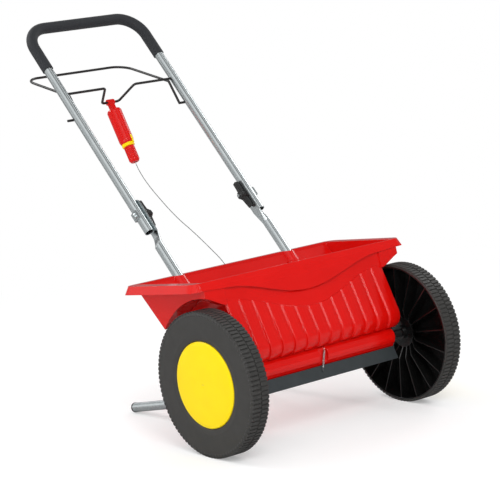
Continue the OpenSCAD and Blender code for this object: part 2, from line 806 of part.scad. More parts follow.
// Wing knob on the inner end of the bolt, wings along the tube
module wing_knob(s) {
    face = handle_x - tube_r - blade_t - 0.1;
    color(colour_black) in_tube_line() side(s) translate([face, fold_at, 0]) difference() {
        union() {
            // wings seen along the normal: straight base, tall outer ends, hub in the middle
            translate([0, 0, -4.5]) linear_extrude(9)
                polygon([[-1.2, -34], [-8.5, -37], [-10, -36], [-14, -12], [-18, -8.5], [-18, 8.5],
                    [-14, 12], [-13, 20], [-12.5, 35], [-11.5, 37], [-2, 37], [-1.2, 35]]);
            rotate([0, -90, 0]) cylinder(h = 18, r = 9, $fn = 32);
            rotate([0, -90, 0]) translate([0, 0, knob_gap]) cylinder(h = 2.4, r = 11, $fn = 32);
        }
        rotate([0, -90, 0]) translate([0, 0, -1]) cylinder(h = 24, r = bolt_r + run_fit, $fn = 32);
        translate([-knob_gap, -40, -12]) cube([2, 80, 24]);
    }
}

// Squeeze loop, crank and adjuster

module squeeze_loop() {
    leg_s = stop_at - pivot_at;
    // the arms are welded under the crossbar
    under = -2 * rod_r + 0.1;
    heel = [loop_x, -cos(loop_lean) - under * sin(loop_lean), -sin(loop_lean) + under * cos(loop_lean)];
    color(colour_black) in_tube_line() translate([0, pivot_at, 0]) {
        // loop: two arms, round corners and the squeeze bar
        rotate([loop_lean, 0, 0]) {
            for (s = [-1, 1]) {
                side(s) rod([loop_x, -1, under], [loop_x, loop_reach - loop_corner, under], rod_r);
                translate([s * (loop_x - loop_corner), loop_reach - loop_corner, under])
                    rotate([0, 0, s > 0 ? 0 : 90])
                    rotate_extrude(angle = 90, $fn = 56) translate([loop_corner, 0])
                        circle(r = rod_r, $fn = 20);
            }
            x_bar(loop_corner - loop_x, loop_x - loop_corner, rod_r, loop_reach, under);
        }
        // legs that run down behind the tubes and stop the loop
        for (s = [-1, 1]) side(s) {
            bent_rod([heel, [loop_x, leg_s, stop_n], [handle_x + tube_r + 8, leg_s, stop_n]], rod_r);
            translate(heel) sphere(r = rod_r + 0.03, $fn = 20);
        }
    }
}

module crank_rod() {
    end_x = handle_x - tube_r + 6;
    reach = norm(crank);
    color(colour_black) translate([0, pivot_y, pivot_z]) rotate([atan2(crank[1], crank[0]), 0, 0])
        planar_rod([[-end_x, 0], [-crank_foot, 0], [-crank_half, reach], [crank_half, reach],
            [crank_foot, 0], [end_x, 0]], rod_r, 9);
}

module in_adjuster() {
    translate([0, pivot_y + crank[0], pivot_z + crank[1]]) rotate([adjust_lean, 0, 0]) children();
}

// Eye that hangs on the crank, with a stem into the barrel
module adjuster_eye() {
    color(colour_red) in_adjuster() difference() {
        union() {
            x_bar(-9, 9, 7.5);
            translate([-7, -5, barrel_top + 0.1]) cube([14, 10, -barrel_top - 2]);
            translate([0, 0, -38]) cylinder(h = 20, r = 6, $fn = 28);
        }
        x_bar(-10, 10, rod_r + run_fit);
    }
}

module adjuster_barrel() {
    color(colour_red) in_adjuster() rotate_extrude($fn = 48)
        polygon([[6, barrel_top], [12, barrel_top], [16, barrel_top - 2], [barrel_r, barrel_top - 6],
            [barrel_r, barrel_end + 8],
            [barrel_r - 1, barrel_end + 4], [barrel_r - 3, barrel_end], [4, barrel_end], [4, -46],
                [2.5, -44], [2.5, -38.1], [6, -38.1]]);
}

module adjuster_ring() {
    color(colour_yellow) in_adjuster() {
        rotate_extrude($fn = 48) polygon([[ring_bore, barrel_end - 0.1],
            [barrel_r - 2.6, barrel_end - 0.1], [barrel_r - 2.4, barrel_end - 2],
            [barrel_r - 2.4, ring_end + 1.5], [barrel_r - 4, ring_end], [ring_bore, ring_end]]);
        // pointer that stands up along the barrel
        rotate([0, 0, -75]) translate([0, -pointer_w / 2, barrel_end - 4]) {
            translate([ring_bore + 9, 0, 0]) cube([barrel_r - ring_bore - 7.4, pointer_w, 3.9]);
            translate([barrel_r + 0.05, 0, 0]) cube([1.55, pointer_w, 20]);
        }
    }
}

module adjuster_sleeve() {
    flutes = 18;
    color(colour_red) in_adjuster() difference() {
        union() {
            translate([0, 0, sleeve_end + 5]) cylinder(h = ring_end - sleeve_end - 5.1, r = sleeve_r,
                $fn = 48);
            translate([0, 0, sleeve_end]) cylinder(h = 5, r1 = sleeve_r - 3, r2 = sleeve_r, $fn = 48);
        }
        translate([0, 0, sleeve_end - 1]) cylinder(h = 60, r = 4, $fn = 24);
        for (i = [0 : flutes - 1]) rotate([0, 0, 360 * i / flutes])
            translate([sleeve_r + 0.7, 0, sleeve_end + 8])
            cylinder(h = 26, r = 1.5, $fn = 14);
    }
}

// Smooth curve through the route points of the wire
function wire_at(p, i, t) = let (n = len(p) - 1, a = p[max(i - 1, 0)], b = p[i], c = p[min(i + 1, n)],
    d = p[min(i + 2, n)])
    0.5 * (2 * b + (c - a) * t + (2 * a - 5 * b + 4 * c - d) * t * t + (3 * b - 3 * c + d - a) * t * t * t);
wire_line = concat([for (i = [0 : len(wire_points) - 2], k = [0 : wire_steps - 1])
    wire_at(wire_points, i, k / wire_steps)],
    [wire_points[len(wire_points) - 1]]);

module control_wire() {
    sides = 8;
    n = len(wire_line);
    function heading(i) = let (d = wire_line[min(i + 1, n - 1)] - wire_line[max(i - 1, 0)]) d / norm(d);
    points = [for (i = [0 : n - 1], k = [0 : sides - 1])
        let (h = heading(i), a = 360 * k / sides, c = wire_r * cos(a))
        [wire_r * sin(a), wire_line[i][0] - h[1] * c, wire_line[i][1] + h[0] * c]];
    sides_faces = [for (i = [0 : n - 2], k = [0 : sides - 1])
        [i * sides + k, i * sides + (k + 1) % sides, (i + 1) * sides + (k + 1) % sides,
            (i + 1) * sides + k]];
    color(colour_zinc) polyhedron(points, concat([[for (k = [0 : sides - 1]) sides - 1 - k]], sides_faces,
        [[for (k = [0 : sides - 1]) (n - 1) * sides + k]]));
}

// Assembly

hopper();
bearing(-1);  // left_bearing
bearing(1);  // right_bearing
axle_shaft();
agitator();
drive_pin();
tyre(-1);  // left_tyre
wheel_core(-1);  // left_wheel_core
wheel_cap(-1);  // left_wheel_cap
retainer(-1);  // left_retainer
spacer(-1);  // left_spacer
tyre(1);  // right_tyre
wheel_core(1);  // right_wheel_core
wheel_cap(1);  // right_wheel_cap
retainer(1);  // right_retainer
spacer(1);  // right_spacer
lower_tube(-1);  // left_lower_tube
lower_tube(1);  // right_lower_tube
foot_plug(-1);  // left_foot_plug
foot_plug(1);  // right_foot_plug
strap(-1, low_strap_at);  // left_low_strap
strap(-1, high_strap_at);  // left_high_strap
strap(1, low_strap_at);  // right_low_strap
strap(1, high_strap_at);  // right_high_strap
shutter();
return_spring();
handle_tube();
grip_sleeve();
fold_bolt(-1);  // left_fold_bolt
fold_bolt(1);  // right_fold_bolt
saddle(-1);  // left_saddle
saddle(1);  // right_saddle
wing_knob(-1);  // left_wing_knob
wing_knob(1);  // right_wing_knob
squeeze_loop();
crank_rod();
adjuster_eye();
adjuster_barrel();
adjuster_ring();
adjuster_sleeve();
control_wire();
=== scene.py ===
# %% [markdown]
# # A drop spreader for the lawn
# The solids come packed from the CAD model and keep their shape and their place. This scene gives
# them their finishes. Two of them bend as the machine works, the return spring and the control wire,
# so swept meshes take their places. Then come a floor, soft lamps and a camera.

import math

import bmesh
import bpy
from mathutils import Matrix, Quaternion, Vector


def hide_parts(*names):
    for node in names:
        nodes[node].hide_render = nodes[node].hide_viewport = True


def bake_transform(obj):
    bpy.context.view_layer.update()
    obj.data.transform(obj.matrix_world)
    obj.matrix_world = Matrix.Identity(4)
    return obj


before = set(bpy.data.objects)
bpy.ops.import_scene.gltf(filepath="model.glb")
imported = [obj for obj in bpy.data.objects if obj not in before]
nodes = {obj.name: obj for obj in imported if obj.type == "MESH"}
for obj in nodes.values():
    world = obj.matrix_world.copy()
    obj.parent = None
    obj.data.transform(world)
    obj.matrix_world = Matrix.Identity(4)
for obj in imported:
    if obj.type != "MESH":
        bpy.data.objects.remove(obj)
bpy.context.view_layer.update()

# %% [markdown]
# ## Helpers
# Colours are picked as sRGB hex values, the way a designer reads them off a sample, but Blender's
# sockets hold linear light, so one function converts them. Patterns are given in millimetres, the way
# a moulder or plater speaks of grain, and one more function turns such a size into the scale of a
# noise texture.

# %% Colours and sizes
MM = 0.001


def srgb(code):
    """Linear RGBA from an sRGB hex value such as D41A12."""
    parts = [int(code[i : i + 2], 16) / 255 for i in (0, 2, 4)]
    return tuple(p / 12.92 if p <= 0.04045 else ((p + 0.055) / 1.055) ** 2.4 for p in parts) + (1.0,)


def per_grain(size_mm):
    """Texture scale that makes one grain of a noise about size_mm across, in object metres."""
    return 1 / (size_mm * MM)


print("mid grey is", round(srgb("808080")[0], 3), "and a 2 mm grain has scale", per_grain(2))

# %% [markdown]
# A material is a small tree of nodes. Adding a node by hand takes a line for the node, one for each
# setting and one for each link, so a single function does all three: inputs that are sockets become
# links, and all else is a value.


# %% One function for nodes, one for a bare material
def add_node(tree, kind, inputs=None, **settings):
    """A new node. Sockets among the inputs become links, and settings are attributes of the node."""
    node = tree.nodes.new(kind)
    for name, value in settings.items():
        setattr(node, name, value)
    for key, value in (inputs or {}).items():
        if isinstance(value, bpy.types.NodeSocket):
            tree.links.new(value, node.inputs[key])
        else:
            node.inputs[key].default_value = value
    return node


def new_material(name, **shader_values):
    """A material with a Principled shader on its output. Keys are socket names with _ for spaces."""
    material = bpy.data.materials.new(name)
    material.use_nodes = True
    tree = material.node_tree
    tree.nodes.clear()
    values = {key.replace("_", " "): value for key, value in shader_values.items()}
    shader = add_node(tree, "ShaderNodeBsdfPrincipled", values)
    add_node(tree, "ShaderNodeOutputMaterial", {"Surface": shader.outputs["BSDF"]})
    place = add_node(tree, "ShaderNodeTexCoord").outputs["Object"]
    return material, tree, shader, place


# %% [markdown]
# No moulded or folded edge is a perfect corner. The solids have plain corners, so the shader rounds
# them: a bevel node turns the normal over a fraction of a millimetre on each side of an edge, and the
# fine grain goes on top of that as a bump. Rounded edges catch the lamps as thin bright lines, which
# is how one reads the pleats of the hopper.


# %% Rounded edges with a grain on top
def surface_normal(tree, shader, height, edge_mm, strength, distance_mm):
    """Round the edges by edge_mm and raise the height pattern on them by distance_mm."""
    edge = add_node(tree, "ShaderNodeBevel", {"Radius": edge_mm * MM}, samples=6)
    values = {
        "Height": height,
        "Strength": strength,
        "Distance": distance_mm * MM,
        "Normal": edge.outputs["Normal"],
    }
    bump = add_node(tree, "ShaderNodeBump", values)
    tree.links.new(bump.outputs["Normal"], shader.inputs["Normal"])


# %% [markdown]
# ## Moulded plastics
# Most of the machine is injection moulded. Polypropylene out of a polished mould is glossy, but never
# a mirror: the skin has a faint waviness where the wall cooled unevenly, and the pigment drifts a
# little in tone. The waviness could be modelled, but at a few micrometres it is a bump map, and the
# drift is a low-contrast noise in the colour. The waviness is drawn higher and the grain coarser
# than on the real skin, where both are too fine to show in the picture.


# %% Moulded plastic, glossy or textured
def moulded_plastic(
    name,
    deep,
    bright,
    roughness,
    drift_mm,
    grain_mm,
    grain_height_mm,
    grain_share=0.3,
    edge_mm=0.6,
    skin=0.5,
):
    """deep and bright are the pigment's tones, grain the texture of the mould's steel, skin its shine."""
    material, tree, shader, place = new_material(name, IOR=1.49, Specular_IOR_Level=skin)
    drift = add_node(
        tree, "ShaderNodeTexNoise", {"Vector": place, "Scale": per_grain(drift_mm), "Detail": 3.0}
    )
    tone = add_node(
        tree,
        "ShaderNodeMix",
        {"Factor": drift.outputs["Fac"], "A": srgb(deep), "B": srgb(bright)},
        data_type="RGBA",
    )
    tree.links.new(tone.outputs["Result"], shader.inputs["Base Color"])
    gloss = add_node(
        tree,
        "ShaderNodeMapRange",
        {"Value": drift.outputs["Fac"], "To Min": roughness - 0.03, "To Max": roughness + 0.05},
    )
    tree.links.new(gloss.outputs["Result"], shader.inputs["Roughness"])
    grain = add_node(
        tree, "ShaderNodeTexNoise", {"Vector": place, "Scale": per_grain(grain_mm), "Detail": 2.0}
    )
    surface_normal(tree, shader, grain.outputs["Fac"], edge_mm, grain_share, grain_height_mm)
    return material


# %% [markdown]
# The hopper and the dial are glossy red polypropylene. The caps of the wheels and the dial's ring are
# a satin yellow ABS, and the ribbed cores of the wheels a glossy black polypropylene. Bearings,
# agitator, knobs, plugs and spacers are black nylon from a textured mould, so their grain is fine.

# %% Red, yellow and black mouldings
red_polypropylene = moulded_plastic(
    "red_polypropylene",
    "D00A06",
    "E0100A",
    roughness=0.15,
    drift_mm=90,
    grain_mm=9,
    grain_height_mm=0.04,
    edge_mm=1.3,
    skin=0.42,
)
yellow_abs = moulded_plastic(
    "yellow_abs",
    "FFD800",
    "FFE600",
    roughness=0.3,
    drift_mm=60,
    grain_mm=5,
    grain_height_mm=0.04,
    skin=0.25,
)
black_gloss_polypropylene = moulded_plastic(
    "black_gloss_polypropylene",
    "0C0C0C",
    "161616",
    roughness=0.18,
    drift_mm=40,
    grain_mm=6,
    grain_height_mm=0.05,
)
black_nylon = moulded_plastic(
    "black_nylon",
    "1C1C1C",
    "2A2A2A",
    roughness=0.42,
    drift_mm=25,
    grain_mm=0.9,
    grain_height_mm=0.03,
    grain_share=0.5,
)
print("moulded:", red_polypropylene.name, yellow_abs.name, black_gloss_polypropylene.name, black_nylon.name)

# %% [markdown]
# ## Hard tyre
# The tyres are not rubber but a hard charcoal plastic, moulded in a blasted mould so that scuffs
# don't show. That gives a dull, slightly dusty surface. A fine grain in the bump breaks up the
# highlights, and a coarser noise makes the charcoal uneven, as handled plastic is. The grain of a
# blasted mould is finer than the 0.8 mm drawn here, and is drawn coarser so that it shows.

# %% Charcoal tyre plastic
tyre_polyethylene = moulded_plastic(
    "tyre_polyethylene",
    "2E2D2C",
    "3D3C3A",
    roughness=0.5,
    drift_mm=18,
    grain_mm=0.8,
    grain_height_mm=0.06,
    grain_share=0.6,
)
print("moulded:", tyre_polyethylene.name)

# %% [markdown]
# The lugs of the solid end at the shoulder, but on the real tyre their roots run on over the edge of
# the side wall as shallow notches. They are too small to model, so they are a second bump: a wave in
# the angle about the axle, which fades in over two millimetres at the shoulder and stays outside it.

# %% Notches at the shoulder
AXLE_HEIGHT = 0.160
LUGS = 100
SHOULDER_FROM = 0.1495
SHOULDER_TO = 0.1515
NOTCH_DEPTH = 1.2 * MM
WAVE_FROM = -0.1
WAVE_TO = 0.35
tree = tyre_polyethylene.node_tree
place = add_node(tree, "ShaderNodeTexCoord").outputs["Object"]
corner = add_node(tree, "ShaderNodeSeparateXYZ", {0: place})
up = add_node(tree, "ShaderNodeMath", {0: corner.outputs["Z"], 1: AXLE_HEIGHT}, operation="SUBTRACT")
angle = add_node(
    tree, "ShaderNodeMath", {0: corner.outputs["Y"], 1: up.outputs["Value"]}, operation="ARCTAN2"
)
turns = add_node(tree, "ShaderNodeMath", {0: angle.outputs["Value"], 1: float(LUGS)}, operation="MULTIPLY")
wave = add_node(tree, "ShaderNodeMath", {0: turns.outputs["Value"]}, operation="SINE")
notch = add_node(
    tree,
    "ShaderNodeMapRange",
    {"Value": wave.outputs["Value"], "From Min": WAVE_FROM, "From Max": WAVE_TO},
)
flat = add_node(tree, "ShaderNodeCombineXYZ", {"X": corner.outputs["Y"], "Y": up.outputs["Value"]})
radius = add_node(tree, "ShaderNodeVectorMath", {0: flat.outputs["Vector"]}, operation="LENGTH")
ring = add_node(
    tree,
    "ShaderNodeMapRange",
    {"Value": radius.outputs["Value"], "From Min": SHOULDER_FROM, "From Max": SHOULDER_TO},
)
depth = add_node(
    tree, "ShaderNodeMath", {0: notch.outputs["Result"], 1: ring.outputs["Result"]}, operation="MULTIPLY"
)
shader = next(node for node in tree.nodes if node.type == "BSDF_PRINCIPLED")
grain = shader.inputs["Normal"].links[0].from_socket
notches = {"Height": depth.outputs["Value"], "Strength": 0.8, "Distance": NOTCH_DEPTH, "Normal": grain}
bump = add_node(tree, "ShaderNodeBump", notches)
tree.links.new(bump.outputs["Normal"], shader.inputs["Normal"])
print("tyres:", tyre_polyethylene.name, "with", LUGS, "notches")

# %% [markdown]
# ## Zinc-plated steel tube
# The handle and the feet are drawn steel tube with bright zinc plating. Drawing leaves faint lines
# along the tube, and the plating bath leaves a soft cloudiness. A noise that is stretched along the
# tube makes the lines, so its coordinates are first turned into the tube's direction. Real drawn
# lines are far finer than a millimetre and would not show, so these are drawn about 1 mm apart.

# %% Plated steel
CLOUD_MM = 35
STRETCH_ALONG = 0.02


def plated_steel(name, dark, light, roughness, line_mm, lean_deg):
    """line_mm is the pitch of the drawn lines, which lean back by lean_deg as the tube does."""
    material, tree, shader, place = new_material(name, Metallic=1.0)
    turned = add_node(
        tree, "ShaderNodeMapping", {"Vector": place, "Rotation": (math.radians(-lean_deg), 0, 0)}
    )
    stretched = add_node(
        tree, "ShaderNodeMapping", {"Vector": turned.outputs["Vector"], "Scale": (1, STRETCH_ALONG, 1)}
    )
    lines = add_node(
        tree,
        "ShaderNodeTexNoise",
        {"Vector": stretched.outputs["Vector"], "Scale": per_grain(line_mm), "Detail": 4.0},
    )
    cloud = add_node(
        tree, "ShaderNodeTexNoise", {"Vector": place, "Scale": per_grain(CLOUD_MM), "Detail": 3.0}
    )
    tone = add_node(
        tree,
        "ShaderNodeMix",
        {"Factor": cloud.outputs["Fac"], "A": srgb(dark), "B": srgb(light)},
        data_type="RGBA",
    )
    tree.links.new(tone.outputs["Result"], shader.inputs["Base Color"])
    gloss = add_node(
        tree,
        "ShaderNodeMapRange",
        {"Value": lines.outputs["Fac"], "To Min": roughness - 0.06, "To Max": roughness + 0.1},
    )
    tree.links.new(gloss.outputs["Result"], shader.inputs["Roughness"])
    surface_normal(tree, shader, lines.outputs["Fac"], edge_mm=0.4, strength=0.12, distance_mm=0.05)
    return material


TUBE_LEAN_DEG = 46.2
zinc_plated_steel = plated_steel(
    "zinc_plated_steel", "C2CACC", "D9DFE0", roughness=0.24, line_mm=1.2, lean_deg=TUBE_LEAN_DEG
)
drawn_wire = plated_steel(
    "drawn_wire", "8C8E8E", "B4B6B6", roughness=0.34, line_mm=0.8, lean_deg=TUBE_LEAN_DEG
)
print("metals:", zinc_plated_steel.name, drawn_wire.name)

# %% [markdown]
# ## Powder coats
# The folded shutter and the bent control rods are steel under powder coat. The powder melts into a
# skin with a slight orange peel, duller than gloss plastic. It is not metallic at all, since no steel
# shows.

# %% Powder-coated steel
DRIFT_MM = 30


def powder_coat(name, deep, bright, roughness, peel_mm):
    """deep and bright are the tones of the powder, peel_mm the size of its orange peel."""
    material, tree, shader, place = new_material(name, Roughness=roughness, IOR=1.5)
    drift = add_node(
        tree, "ShaderNodeTexNoise", {"Vector": place, "Scale": per_grain(DRIFT_MM), "Detail": 3.0}
    )
    tone = add_node(
        tree,
        "ShaderNodeMix",
        {"Factor": drift.outputs["Fac"], "A": srgb(deep), "B": srgb(bright)},
        data_type="RGBA",
    )
    tree.links.new(tone.outputs["Result"], shader.inputs["Base Color"])
    peel = add_node(
        tree, "ShaderNodeTexNoise", {"Vector": place, "Scale": per_grain(peel_mm), "Detail": 2.0}
    )
    surface_normal(tree, shader, peel.outputs["Fac"], edge_mm=0.5, strength=0.35, distance_mm=0.06)
    return material


slate_powder_coat = powder_coat("slate_powder_coat", "2C3133", "393F42", roughness=0.4, peel_mm=1.6)
black_powder_coat = powder_coat("black_powder_coat", "1A1818", "242221", roughness=0.36, peel_mm=1.4)
print("coated:", slate_powder_coat.name, black_powder_coat.name)

# %% [markdown]
# ## Soft grip
# The grip is a sleeve of closed-cell foam, slid on and shrunk round the bends of the handle. Foam has
# tiny cut cells in its skin, which scatter light so much that there is hardly a highlight. A fine,
# fairly strong bump with a high roughness gives that, and sheen stands for the fuzz of the cells at
# grazing angles. Real cells are well under a millimetre, too fine to show, so these are 1.1 mm.

# %% Foam
CELL_MM = 1.1
grip_foam, tree, shader, place = new_material(
    "grip_foam", Roughness=0.7, IOR=1.4, Sheen_Weight=0.08, Sheen_Roughness=0.4
)
cells = add_node(tree, "ShaderNodeTexVoronoi", {"Vector": place, "Scale": per_grain(CELL_MM)})
tone = add_node(
    tree,
    "ShaderNodeMix",
    {"Factor": cells.outputs["Distance"], "A": srgb("1F2124"), "B": srgb("303236")},
    data_type="RGBA",
)
tree.links.new(tone.outputs["Result"], shader.inputs["Base Color"])
surface_normal(tree, shader, cells.outputs["Distance"], edge_mm=0.8, strength=0.5, distance_mm=0.15)
print("foam cells of", CELL_MM, "mm on", grip_foam.name)

# %% [markdown]
# ## Dressing the solids
# Every solid takes the finish that its real piece has. The names say what each one is, so a table
# from finish to pieces is all it takes.

# %% Finishes for every solid
FINISHES = {
    red_polypropylene: ["hopper", "adjuster_eye", "adjuster_barrel", "adjuster_sleeve"],
    yellow_abs: ["left_wheel_cap", "right_wheel_cap", "adjuster_ring"],
    tyre_polyethylene: ["left_tyre", "right_tyre"],
    black_gloss_polypropylene: ["left_wheel_core", "right_wheel_core"],
    black_nylon: [
        "left_bearing",
        "right_bearing",
        "agitator",
        "left_spacer",
        "right_spacer",
        "left_foot_plug",
        "right_foot_plug",
        "left_wing_knob",
        "right_wing_knob",
    ],
    zinc_plated_steel: [
        "axle_shaft",
        "drive_pin",
        "left_retainer",
        "right_retainer",
        "left_lower_tube",
        "right_lower_tube",
        "left_low_strap",
        "left_high_strap",
        "right_low_strap",
        "right_high_strap",
        "handle_tube",
        "left_fold_bolt",
        "right_fold_bolt",
        "left_saddle",
        "right_saddle",
    ],
    slate_powder_coat: ["shutter"],
    black_powder_coat: ["squeeze_loop", "crank_rod"],
    grip_foam: ["grip_sleeve"],
    drawn_wire: ["return_spring", "control_wire"],
}
for finish, names in FINISHES.items():
    for name in names:
        nodes[name].data.materials.clear()
        nodes[name].data.materials.append(finish)
bare = sorted(set(nodes) - {name for names in FINISHES.values() for name in names})
print("dressed", sum(len(names) for names in FINISHES.values()), "solids, bare:", bare)

# %% [markdown]
# ## Round wire
# Both the spring and the control wire are round wire along a path. A curve with a bevel would draw
# them, but here a ring of points is swept along the path and joined into a closed tube.


# %% Sweep a round wire along a path
def wire_mesh(name, path, radius, sides, material):
    """A closed tube of so many sides along the path, linked to the scene."""
    mesh = bmesh.new()
    rings = []
    side = Vector((1, 0, 0))
    for i, point in enumerate(path):
        ahead = (path[min(i + 1, len(path) - 1)] - path[max(i - 1, 0)]).normalized()
        side = (side - side.dot(ahead) * ahead).normalized()
        up = ahead.cross(side)
        turns = [2 * math.pi * k / sides for k in range(sides)]
        rings.append(
            [mesh.verts.new(point + radius * (math.cos(a) * side + math.sin(a) * up)) for a in turns]
        )
    for low, high in zip(rings, rings[1:]):
        for k in range(sides):
            mesh.faces.new((low[k], low[(k + 1) % sides], high[(k + 1) % sides], high[k]))
    mesh.faces.new(reversed(rings[0]))
    mesh.faces.new(rings[-1])
    data = bpy.data.meshes.new(name)
    mesh.to_mesh(data)
    mesh.free()
    data.polygons.foreach_set("use_smooth", [True] * len(data.polygons))
    data.materials.append(material)
    piece = bpy.data.objects.new(name, data)
    bpy.context.scene.collection.objects.link(piece)
    print(name, "has", len(data.polygons), "faces")
    return piece


# %% [markdown]
# ## Return spring
# A thin spring in the recess of the hopper pulls the shutter closed. Its ends hook into the hopper
# above and into a hole in the shutter's front leg below. It is a helix, which a formula gives point
# by point, in millimetres from the axle in the hopper's own tilted frame. It stretches when the
# shutter turns.

# %% Return spring
HOPPER_TILT = math.radians(-5.6)
SPRING_TOP = Vector((4, -41, 18)) * MM
SPRING_LOW = Vector((-8, -41, -25.5)) * MM
SPRING_RADIUS = 2.5 * MM
SPRING_WIRE = 0.5 * MM
SPRING_SIDES = 8
HOOK = 3 * MM
COILS = 17
STEPS_PER_COIL = 14
to_row = Matrix.Translation((0, 0, AXLE_HEIGHT)) @ Matrix.Rotation(HOPPER_TILT, 4, "X")
axis = (SPRING_LOW - SPRING_TOP).normalized()
across = Vector((0, 1, 0)).cross(axis).normalized()
depth = axis.cross(across)
coil_from = SPRING_TOP + HOOK * axis
coil_to = SPRING_LOW - HOOK * axis
path = [
    SPRING_TOP + Vector((0, 5, 4)) * MM,
    SPRING_TOP + Vector((0, 0.5, 3.5)) * MM,
    SPRING_TOP + Vector((0, 0, 1)) * MM,
]
for i in range(COILS * STEPS_PER_COIL + 1):
    turn = 2 * math.pi * i / STEPS_PER_COIL
    along = i / (COILS * STEPS_PER_COIL)
    path.append(
        coil_from.lerp(coil_to, along) + SPRING_RADIUS * (math.cos(turn) * across + math.sin(turn) * depth)
    )
path += [
    SPRING_LOW + Vector((0, 0, -1)) * MM,
    SPRING_LOW + Vector((0, 0.5, -4)) * MM,
    SPRING_LOW + Vector((0, 4, -4.5)) * MM,
]
return_spring = wire_mesh(
    "return_spring_coil", [to_row @ p for p in path], SPRING_WIRE, SPRING_SIDES, zinc_plated_steel
)
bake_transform(return_spring)
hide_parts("return_spring")

# %% [markdown]
# ## Control wire
# One steel wire runs from inside the dose dial on the crank, over the back of the hopper, and down to
# the lever of the shutter. The handle folds and the shutter turns, so the wire is two lengths that
# meet where the hopper holds it still. Both follow one route, listed in millimetres from the
# ground datum, as (y, z), and HELD_AT is the point of the route where the hopper holds it. A smooth
# curve through the points has no kinks, as a stiff wire has none.

# %% Route of the control wire
WIRE_ROUTE = [(617, 604), (592, 561), (580, 542), (559, 519), (533, 497), (503, 475)]
WIRE_ROUTE += [(471, 453), (436, 432), (397, 412), (359, 391), (325, 371), (296, 353)]
WIRE_ROUTE += [(272, 333), (246, 308), (200, 263), (140, 207), (80, 153), (39, 120)]
WIRE_STEPS = 6
HELD_AT = 13


def smooth_route(points, steps):
    """Points on a smooth curve through the route, which lies in the machine's middle plane."""
    route = [Vector((0, y * MM, z * MM)) for y, z in points]
    out = []
    for i in range(len(route) - 1):
        a, b, c, d = route[max(i - 1, 0)], route[i], route[i + 1], route[min(i + 2, len(route) - 1)]
        for k in range(steps):
            t = k / steps
            bend = 2 * a - 5 * b + 4 * c - d
            twist = 3 * b - 3 * c + d - a
            out.append(0.5 * (2 * b + (c - a) * t + bend * t**2 + twist * t**3))
    return out + [route[-1]]


whole = smooth_route(WIRE_ROUTE, WIRE_STEPS)
held = HELD_AT * WIRE_STEPS
length = sum((b - a).length for a, b in zip(whole, whole[1:]))
print("the wire is", round(length, 3), "m long")

# %% [markdown]
# The upper length runs along the route to two steps past the held point. With the lower length it
# stands for the whole wire of the solids, which is hidden.

# %% Upper length
WIRE_RADIUS = 1.0 * MM
WIRE_SIDES = 10
upper_path = whole[: held + 2]
upper_wire = wire_mesh("control_wire_upper", upper_path, WIRE_RADIUS, WIRE_SIDES, drawn_wire)
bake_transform(upper_wire)
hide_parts("control_wire")

# %% [markdown]
# The lower length lies along the back wall, from the held point to the end of the route.

# %% Lower length
lower_wire = wire_mesh("control_wire_lower", whole[held:], WIRE_RADIUS, WIRE_SIDES, drawn_wire)
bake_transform(lower_wire)
print("lower length from step", held, "of", len(whole) - 1)

# %% [markdown]
# ## Smooth shading
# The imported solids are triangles. Round tubes and caps should look round and folded edges sharp, so
# faces are shaded smooth and only the edges that turn by more than a set angle are kept sharp. This
# changes no point of a solid.

# %% Smooth shading with sharp edges kept
SHARP_DEG = 32
for name, solid in nodes.items():
    mesh = bmesh.new()
    mesh.from_mesh(solid.data)
    for face in mesh.faces:
        face.smooth = True
    sharp = 0
    for edge in mesh.edges:
        folded = len(edge.link_faces) == 2 and edge.calc_face_angle(0) > math.radians(SHARP_DEG)
        edge.smooth = not folded
        sharp += folded
    mesh.to_mesh(solid.data)
    mesh.free()
print("shaded", len(nodes), "solids, the last with", sharp, "sharp edges")

# %% [markdown]
# ## Floor and light
# A catalogue picture stands the machine on white paper that is lit until it burns out, apart from the
# soft shadow round the wheels. The floor is one large square.

# %% Floor
FLOOR_HALF = 30.0
floor_mesh = bpy.data.meshes.new("floor")
corners = [
    (-FLOOR_HALF, -FLOOR_HALF, 0),
    (FLOOR_HALF, -FLOOR_HALF, 0),
    (FLOOR_HALF, FLOOR_HALF, 0),
    (-FLOOR_HALF, FLOOR_HALF, 0),
]
floor_mesh.from_pydata(corners, [], [(0, 1, 2, 3)])
floor = bpy.data.objects.new("floor", floor_mesh)
bpy.context.scene.collection.objects.link(floor)
print("floor of", 2 * FLOOR_HALF, "m")

# %% [markdown]
# The paper is pale and matt, and glows for the camera only: a little under the machine, so that its
# shadow stays, and fully further out, where it meets the white of the room without an edge. The glow
# only adds what the lit paper lacks to be white, since anything brighter would eat into thin rods
# and the wire in front of it.

